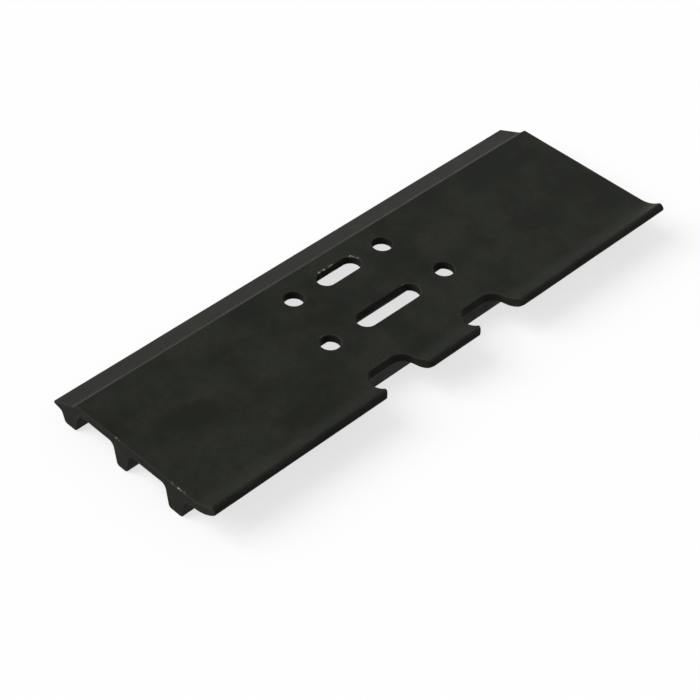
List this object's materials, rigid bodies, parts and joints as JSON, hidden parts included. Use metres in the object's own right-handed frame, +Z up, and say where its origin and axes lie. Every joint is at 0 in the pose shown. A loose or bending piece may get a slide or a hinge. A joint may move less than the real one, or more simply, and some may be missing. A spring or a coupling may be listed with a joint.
{
  "type": "excavator track shoe",
  "caption": "Rolled steel track shoe with three grousers, a curled lip with two link notches, bolt holes in a trapezium and mud slots",
  "frame": {"origin": "on the ground under the middle of the shoe's length and breadth, with the shoe on its grouser tips", "axes": "+X along the shoe, across the machine's track; +Y from the curled lip towards the stepped nose edge; +Z up out of the link face"},
  "size_m": [0.7, 0.254, 0.0501],
  "materials": {
    "black_paint": "satin"
  },
  "bodies": {
    "root": {"track_shoe": "black_paint"}
  },
  "joints": []
}
